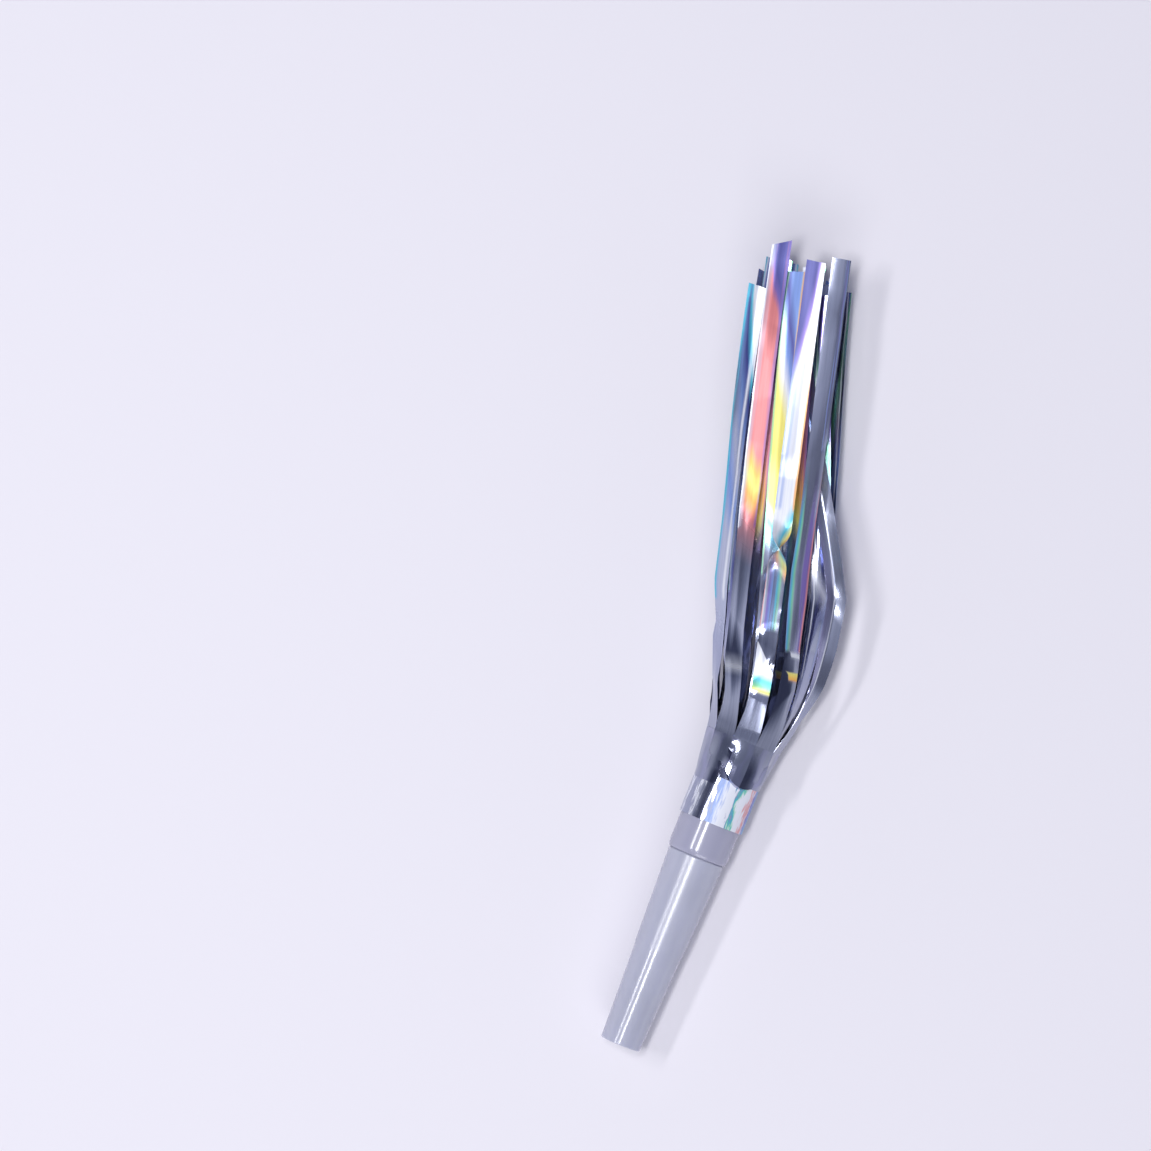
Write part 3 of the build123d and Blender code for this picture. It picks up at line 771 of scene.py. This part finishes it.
def lay_sheet(name, columns, rows, surface, thickness, crease_angle, closed=False):
    """Lay a grid over surface(across, along), both from 0 to 1, and give it the foil's thickness."""
    bpy.ops.object.select_all(action="DESELECT")
    bpy.ops.mesh.primitive_grid_add(x_subdivisions=columns, y_subdivisions=rows, size=2)
    piece = bpy.context.object
    piece.name = name
    for vertex in piece.data.vertices:
        vertex.co = surface((1 + vertex.co.x) / 2, (1 + vertex.co.y) / 2)
    if closed:
        bpy.ops.object.mode_set(mode="EDIT")
        bpy.ops.mesh.select_all(action="SELECT")
        bpy.ops.mesh.remove_doubles(threshold=0.001 * MM)
        bpy.ops.object.mode_set(mode="OBJECT")
    apply_modifier(piece, "TRIANGULATE", quad_method="SHORTEST_DIAGONAL")
    apply_modifier(piece, "SOLIDIFY", thickness=thickness, offset=-1.0)
    bpy.ops.object.shade_smooth_by_angle(angle=crease_angle)
    return piece


def dress(piece, material):
    """Give the piece one material."""
    piece.data.materials.clear()
    piece.data.materials.append(material)


def smooth(value, low, high):
    """Smooth step from 0 at low to 1 at high."""
    share = min(max((value - low) / (high - low), 0.0), 1.0)
    return share * share * (3 - 2 * share)


def plume_frame(run, root_y, sizes):
    """Point and sideways direction of the plume's middle line."""
    bend_radius = sizes.plume_bend / sizes.plume_lean
    heading = min(run, sizes.plume_bend) / bend_radius
    sideways = Vector((cos(heading), sin(heading), 0))
    forward = Vector((-sin(heading), cos(heading), 0))
    bend = Vector((bend_radius * (cos(heading) - 1), root_y + bend_radius * sin(heading), 0))
    return bend + forward * max(run - sizes.plume_bend, 0), sideways


def strip_middle(strip, root, share, sizes):
    """Middle of a strip at a share of its length, and the direction across it."""
    slit_radius = hypot(root.x, root.z)
    out_x, out_z = root.x / slit_radius, root.z / slit_radius
    slot = Vector((1, 0)).angle_signed(Vector((out_x, -out_z))) % (2 * pi)
    part = max(share, 0)
    change = smooth(part, 0, 1)
    round_bow = sin(pi * part ** (log(0.5) / log(sizes.bow_peak))) ** 2
    sharp_bow = min(part / sizes.bow_peak, (1 - part) / (1 - sizes.bow_peak))
    bow = sizes.plume_reach * strip.bow * (round_bow + (sharp_bow - round_bow) * sizes.bow_elbow)
    middle, sideways = plume_frame(share * sizes.strip_length * (1 + strip.gain), root.y, sizes)
    across = root.x * (1 - change) + sizes.plume_reach * strip.across * change + bow * out_x
    height = root.z * (1 - change) + sizes.plume_rise * strip.height * change + bow * max(out_z, 0)
    flat = pi if root.z > 0 else 2 * pi
    turned = smooth(part, 0, strip.turned_by)
    roll = (slot + pi / 2) * (1 - turned) + (flat + radians(strip.roll)) * turned
    twist_share, twist_degrees = strip.twist
    twist_reach = 0.06
    roll += radians(twist_degrees) * smooth(share, twist_share - twist_reach, twist_share + twist_reach)
    point = middle + sideways * across + Vector((0, 0, height))
    return point, sideways * cos(roll) + Vector((0, 0, sin(roll)))


def crease_knots(seed, lift, turn):
    """Cross creases of a strip: share along it, slant, and the lift and turn at each."""
    dice = Random(seed)
    shortest, longest = 0.045, 0.11
    knots = [(-0.01, 0.0, 0.0, 0.0), (0.02, 0.0, 0.0, 0.0)]
    while knots[-1][0] < 1.1:
        share = knots[-1][0] + dice.uniform(shortest, longest)
        # Towards the tip the creases are half as strong
        strength = 1.0 if share < 0.45 else 0.5
        slant = dice.uniform(-0.02, 0.02)
        knot_lift = strength * dice.uniform(-0.3, 1.0) * lift
        knot_turn = strength * dice.uniform(-turn, turn)
        knots.append((share, slant, knot_lift, knot_turn))
    return knots


def between_knots(knots, share, side):
    """Lift and turn at a place on the strip, straight from crease to crease."""
    for (start, slant, lift, turn), (end, next_slant, next_lift, next_turn) in zip(knots, knots[1:]):
        first, last = start + slant * side, end + next_slant * side
        if share <= last:
            part = (share - first) / (last - first)
            return lift + (next_lift - lift) * part, turn + (next_turn - turn) * part
    raise ValueError("the creases end before the strip does")


def strip_surface(strip, root, seed, lift, turn, sizes):
    """Function that lays a strip's sheet: along its path, with its folds, curl and creases."""
    knots = crease_knots(seed, lift, turn)
    # Neighbours meet at the slit's end, so half a side of the skirt's ten-sided edge
    slit_half = hypot(root.x, root.z) * tan(radians(18))
    root_share = -sizes.slit_setback / sizes.strip_length
    step = 0.002
    full_width_share, settled_share = 0.09, 0.12
    twist_rise, twist_reach = 1.6 * MM, 0.15
    # The tip is cut off a little askew, by up to 0.4 of the width
    askew = Random(seed).uniform(-0.4, 0.4) * sizes.strip_width / sizes.strip_length

    def surface(across, along):
        short = askew * across if askew > 0 else -askew * (1 - across)
        share = root_share + (1 - root_share) * along * (1 - short)
        side = 1 - 2 * across
        middle, direction = strip_middle(strip, root, share, sizes)
        ahead = strip_middle(strip, root, share + step, sizes)[0]
        behind = strip_middle(strip, root, share - step, sizes)[0]
        outwards = (ahead - behind).cross(direction).normalized()
        settle = smooth(share, 0.0, settled_share)
        crease_lift, crease_turn = between_knots(knots, share, side)
        fold_place, fold_depth = strip.fold
        fold_reach = 1 + fold_place if side < fold_place else 1 - fold_place
        fold = fold_depth * MM * (1 - abs(side - fold_place) / fold_reach)
        curl = strip.curl * MM * (side * side - 0.33)
        kink_share, kink_rise = strip.kink
        kink = kink_rise * MM * max(1 - abs(share - kink_share) / kink_share, 0)
        twist_share, twist_degrees = strip.twist
        near_twist = max(1 - abs(share - twist_share) / twist_reach, 0)
        twist_lift = twist_rise * (twist_degrees / 180) * near_twist
        offset = (fold + curl) * settle + crease_lift + kink
        widened = smooth(share, 0.0, full_width_share)
        half = side * (slit_half + (sizes.strip_width / 2 - slit_half) * widened)
        tilt = outwards * (crease_turn * half)
        return middle + direction * half + outwards * offset + tilt + Vector((0, 0, twist_lift))

    return surface


class HORN_OT_mouthpiece(Operator):
    """Model the turned mouthpiece with its polished lip, shoulder, spigot and bore"""

    bl_idname = "horn.mouthpiece"
    bl_label = "Mouthpiece"

    def execute(self, context):
        sizes = context.scene.horn_sizes
        colours = context.scene.horn_colours
        shoulder = mouthpiece_box[1].x
        spigot_end = mouthpiece_box[1].y
        shoulder_y = barrel_box[0].y
        spigot = barrel_box[1].x - sizes.barrel_wall - sizes.press_clearance
        spigot_bore = spigot - sizes.spigot_wall
        seat_y = shoulder_y + sizes.reed_seat_depth
        lip_share = sizes.lip_length / shoulder_y
        lip = sizes.mouth_radius + (shoulder - sizes.lip_step - sizes.mouth_radius) * lip_share
        stations = (
            (sizes.mouth_bore, 0),
            (sizes.mouth_radius, 0),
            (lip, sizes.lip_length),
            (lip + sizes.lip_step, sizes.lip_length + sizes.lip_step_length),
            (shoulder, shoulder_y - sizes.shoulder_chamfer),
            (shoulder - sizes.shoulder_chamfer, shoulder_y),
            (spigot, shoulder_y),
            (spigot, spigot_end - sizes.spigot_lead),
            (spigot - sizes.spigot_lead, spigot_end),
            (spigot_bore, spigot_end),
            (spigot_bore, seat_y),
            (spigot_bore - sizes.reed_seat_ledge, seat_y),
            (sizes.mouth_bore, sizes.mouth_bore_length),
        )
        piece = turn_piece("mouthpiece_tube", stations, sizes.turned_sides, sizes.edge_round)
        dress(piece, frosted_polypropylene(colours, sizes))
        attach(piece, "horn")
        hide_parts("mouthpiece")
        return {"FINISHED"}


class HORN_OT_barrel(Operator):
    """Model the barrel with the rounded rim that leaves a fine groove at the shoulder"""

    bl_idname = "horn.barrel"
    bl_label = "Barrel"

    def execute(self, context):
        sizes = context.scene.horn_sizes
        low, high = barrel_box
        outside = high.x
        bore = outside - sizes.barrel_wall
        rim = [
            (
                outside - sizes.barrel_rim_depth * (1 - sin(radians(turn))),
                low.y + sizes.barrel_rim * (1 - cos(radians(turn))),
            )
            for turn in (0, 20, 40, 60, 90)
        ]
        stations = ((bore, low.y), *rim, (outside, high.y), (bore, high.y))
        piece = turn_piece("barrel_tube", stations, sizes.turned_sides, sizes.edge_round)
        dress(piece, clear_polypropylene(context.scene.horn_colours))
        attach(piece, "horn")
        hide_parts("barrel")
        return {"FINISHED"}


class HORN_OT_reed(Operator):
    """Finish the reed's holder, tongue and wedge and the tape, whose solids are right"""

    bl_idname = "horn.reed"
    bl_label = "Reed and tape"

    def execute(self, context):
        colours = context.scene.horn_colours
        polystyrene = moulded_polystyrene(colours)
        dress(frame["nodes"]["reed_holder"], polystyrene)
        dress(frame["nodes"]["reed_wedge"], polystyrene)
        dress(frame["nodes"]["reed_tongue"], polyester_film(colours))
        dress(frame["nodes"]["adhesive_tape"], acrylic_tape(colours))
        return {"FINISHED"}


class HORN_OT_foil_band(Operator):
    """Wind the foil's glued band twice round the barrel, its free edge a little lifted"""

    bl_idname = "horn.foil_band"
    bl_label = "Foil band"

    def execute(self, context):
        sizes = context.scene.horn_sizes
        low, high = band_box
        turns = 2
        whole_turn = 2 * pi
        wound = turns * whole_turn
        start_radius = barrel_box[1].x + 0.15 * MM
        edge_lift, edge_angle = 0.10 * MM, radians(9)
        wrinkle = 0.035 * MM

        def surface(across, along):
            turn = (1 - across) * wound
            radius = start_radius + sizes.turn_pitch * turn / whole_turn
            radius += edge_lift * smooth(turn, wound - edge_angle, wound) ** 2
            angle = SEAM + turn
            y = low.y + (high.y - low.y) * along
            # Wrinkles of the turn that shows are about 2.5 mm wide and 5 mm long
            spot = Vector((cos(angle) * 2.2, sin(angle) * 2.2, y / (5 * MM)))
            if turn > wound - whole_turn:
                radius += wrinkle * abs(noise.noise(spot))
            return Vector((radius * cos(angle), y, radius * sin(angle)))

        piece = lay_sheet("foil_band_wrap", 320, 20, surface, sizes.foil, radians(40))
        dress(piece, band_foil(context.scene.horn_colours))
        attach(piece, "horn")
        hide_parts("foil_band")
        return {"FINISHED"}


class HORN_OT_skirts(Operator):
    """Crumple both turns of unslit foil past the barrel, the outer one buckled on one side"""

    bl_idname = "horn.skirts"
    bl_label = "Foil skirts"

    def execute(self, context):
        sizes = context.scene.horn_sizes
        colours = context.scene.horn_colours
        facet = radians(36)
        band_radius = band_box[1].x
        slit_y = skirt_box[1].y
        band_end = band_box[1].y
        tuck_y = band_end - 1.4 * MM
        tuck, proud = 0.05 * MM, 0.03 * MM
        belly_angle = radians(68)
        belly_spread = radians(42)
        belly = 0.65 * MM
        belly_drop, belly_sides = 0.8 * MM, 3.2 * MM
        crumple = 0.12 * MM
        pleat = 0.30 * MM
        lip = 0.35 * MM
        lip_start, lip_stop = 0.2, 0.4
        outer_edge = hypot(outer_root.x, outer_root.z)
        inner_edge = hypot(inner_root.x, inner_root.z)
        inner_start = barrel_box[1].x + 0.14 * MM
        dent = 0.12 * MM

        def from_flat(angle):
            return (angle - SEAM) % facet - facet / 2

        def polygon(angle):
            return 1 / cos(from_flat(angle)) - 1

        def outer_surface(across, along):
            angle = SEAM - across * 2 * pi
            from_belly = ((angle - belly_angle + pi) % (2 * pi) - pi) / belly_spread
            bottom = band_end - belly_drop + belly_sides * min(from_belly**2, 1)
            # Rows crowd at the belly's lip
            if along < lip_start:
                y = tuck_y + (bottom - tuck_y) * along / lip_start
            elif along < lip_stop:
                y = bottom + lip * (along - lip_start) / (lip_stop - lip_start)
            else:
                y = bottom + lip + (slit_y - bottom - lip) * (along - lip_stop) / (1 - lip_stop)
            flare = min(max((y - band_end) / (slit_y - band_end), 0), 1)
            # It comes out from under the band's last turn
            out = smooth(y, band_end - 0.5 * MM, band_end + 0.2 * MM)
            radius = band_radius - tuck + (tuck + proud) * out
            radius += (outer_edge - band_radius - proud) * flare
            pillow = (1 - min(from_belly**8, 1)) * smooth(y, bottom, bottom + lip)
            fold = pleat * (1 - abs(from_flat(angle)) / (facet / 2))
            radius += (belly + fold) * pillow * (1 - 0.9 * smooth(flare, 0.25, 1.0))
            # Crumples are about 2.5 mm wide and 25 mm long
            spot = Vector((cos(angle) * 2.4, sin(angle) * 2.4, y / (25 * MM)))
            ridge = 0.5 - abs(noise.noise(spot)) * 1.6 + 0.3 * noise.noise(spot * 2.1)
            loose = smooth(flare, 0.0, 0.2) * (1 - smooth(flare, 0.85, 1.0)) * (1 - 0.5 * pillow)
            radius += crumple * ridge * loose
            radius *= 1 + polygon(angle) * max(flare, pillow)
            return Vector((radius * cos(angle), y, radius * sin(angle)))

        def inner_surface(across, along):
            angle = SEAM - across * 2 * pi
            y = band_end + (slit_y - band_end) * along
            radius = inner_start + (inner_edge - inner_start) * along
            # Dents are about 2 mm wide and 6 mm long
            spot = Vector((cos(angle) * 3.0, sin(angle) * 3.0, y / (6 * MM)))
            radius -= dent * abs(noise.noise(spot)) * (1 - smooth(along, 0.8, 1.0))
            radius *= 1 + polygon(angle) * along
            return Vector((radius * cos(angle), y, radius * sin(angle)))

        crumpled = crumpled_foil(colours)
        for name, surface in (("outer_skirt", outer_surface), ("inner_skirt", inner_surface)):
            piece = lay_sheet(name + "_foil", 50, 15, surface, sizes.foil, radians(9), closed=True)
            dress(piece, crumpled)
            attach(piece, "horn")
            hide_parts(name)
        return {"FINISHED"}


class HORN_OT_strips(Operator):
    """Lay the twenty foil strips of the fringe, each creased and bent at its root"""

    bl_idname = "horn.strips"
    bl_label = "Foil strips"

    def execute(self, context):
        sizes = context.scene.horn_sizes
        colours = context.scene.horn_colours
        foils = {
            name: strip_foil(name + "_holographic_foil", finish, colours, sizes)
            for name, finish in FINISHES.items()
        }
        # The creases' lift and turn are slight in the inner turn, which lies close
        turns = (
            ("outer", OUTER_STRIPS, 0.40 * MM, radians(13)),
            ("inner", INNER_STRIPS, 0.06 * MM, radians(5)),
        )
        for turn_name, strips, lift, turn in turns:
            for number, strip in enumerate(strips, start=1):
                body = f"{turn_name}_strip_{number:02d}"
                root = strip_joints[body]
                seed = number + 40 * len(turn_name)
                surface = strip_surface(strip, root, seed, lift, turn, sizes)
                piece = lay_sheet(body + "_foil", 12, 220, surface, sizes.foil, radians(12))
                dress(piece, foils[strip.finish])
                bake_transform(piece)
                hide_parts(body)
        return {"FINISHED"}


class HORN_OT_stage(Operator):
    """Set the pale floor, the soft lamps, the room and the camera straight above"""

    bl_idname = "horn.stage"
    bl_label = "Stage"

    def execute(self, context):
        sizes = context.scene.horn_sizes
        colours = context.scene.horn_colours
        low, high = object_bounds()
        middle = (low + high) / 2

        bpy.ops.mesh.primitive_plane_add(size=6.0, location=(middle.x, middle.y, low.z - 0.1 * MM))
        floor = bpy.context.object
        floor.name = "floor"
        bpy.ops.object.transform_apply(location=True)
        material, tree, shader = new_material("painted_floor")
        set_inputs(shader, {"Base Color": colours.floor, "Roughness": 0.6})
        dress(floor, material)
        floor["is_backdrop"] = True

        # A long bright box overhead, a thin one to its left and a broad one at the mouth's end
        lamps = (
            ("overhead_box", (-0.19, -0.03, 1.15), 0.12, 0.42, 5.9),
            ("left_box", (-0.60, -0.03, 0.94), 0.08, 0.42, 2.7),
            ("front_box", (0.25, -0.75, 0.85), 0.8, 0.5, 4.0),
        )
        for name, place, wide, long, power in lamps:
            away = Vector(place)
            bpy.ops.object.light_add(type="AREA", location=middle + away)
            lamp = bpy.context.object
            lamp.name = name
            facing = away.normalized()
            side = Vector((0, 1, 0)).cross(facing).normalized()
            lamp.rotation_euler = Matrix((side, facing.cross(side), facing)).transposed().to_euler()
            lamp.data.shape = "RECTANGLE"
            lamp.data.size = wide
            lamp.data.size_y = long
            lamp.data.energy = power

        world = bpy.data.worlds.new("studio")
        context.scene.world = world
        world.use_nodes = True
        tree = world.node_tree
        ray = add_node(tree, "TexCoord").outputs["Generated"]
        up = add_node(tree, "SeparateXYZ", {"Vector": ray}).outputs["Z"]
        # Pale at the horizon, dark half-way up and paler again overhead
        shades = (
            (0.0, "#E9E8EE"),
            (0.22, "#CDCED8"),
            (0.36, "#868A9A"),
            (0.52, "#484C60"),
            (0.80, "#50546A"),
            (0.90, "#8C90A2"),
            (1.0, "#A2A6B6"),
        )
        stops = [(height, hex_to_linear(code)) for height, code in shades]
        room = add_node(tree, "ValToRGB", {"Fac": up}, stops=stops)
        set_inputs(tree.nodes["Background"], {"Color": room})

        lens_turn = radians(22.1)
        aim = Vector((-37.0 * MM, 70.9 * MM, 0))
        bpy.ops.object.camera_add(
            location=aim + Vector((0, 0, sizes.camera_distance)), rotation=(0, 0, lens_turn)
        )
        camera = bpy.context.object
        camera.data.lens = camera.data.sensor_width * sizes.camera_distance / sizes.camera_span
        context.scene.camera = camera
        context.scene.view_settings.view_transform = "Standard"
        return {"FINISHED"}


PIECES = (
    HORN_OT_mouthpiece,
    HORN_OT_barrel,
    HORN_OT_reed,
    HORN_OT_foil_band,
    HORN_OT_skirts,
    HORN_OT_strips,
    HORN_OT_stage,
)


class HORN_PT_panel(Panel):
    """List the horn's pieces and its stage"""

    bl_label = "Party horn"
    bl_idname = "HORN_PT_panel"
    bl_space_type = "VIEW_3D"
    bl_region_type = "UI"
    bl_category = "Party horn"

    def draw(self, context):
        for piece in PIECES:
            self.layout.operator(piece.bl_idname)


CLASSES = (HornSizes, HornColours, *PIECES, HORN_PT_panel)


def register():
    for cls in CLASSES:
        bpy.utils.register_class(cls)
    bpy.types.Scene.horn_sizes = PointerProperty(type=HornSizes)
    bpy.types.Scene.horn_colours = PointerProperty(type=HornColours)


def unregister():
    del bpy.types.Scene.horn_colours
    del bpy.types.Scene.horn_sizes
    for cls in reversed(CLASSES):
        bpy.utils.unregister_class(cls)


def main():
    register()
    bpy.ops.horn.mouthpiece()
    bpy.ops.horn.barrel()
    bpy.ops.horn.reed()
    bpy.ops.horn.foil_band()
    bpy.ops.horn.skirts()
    bpy.ops.horn.strips()
    bpy.ops.horn.stage()


if __name__ == "__main__":
    main()
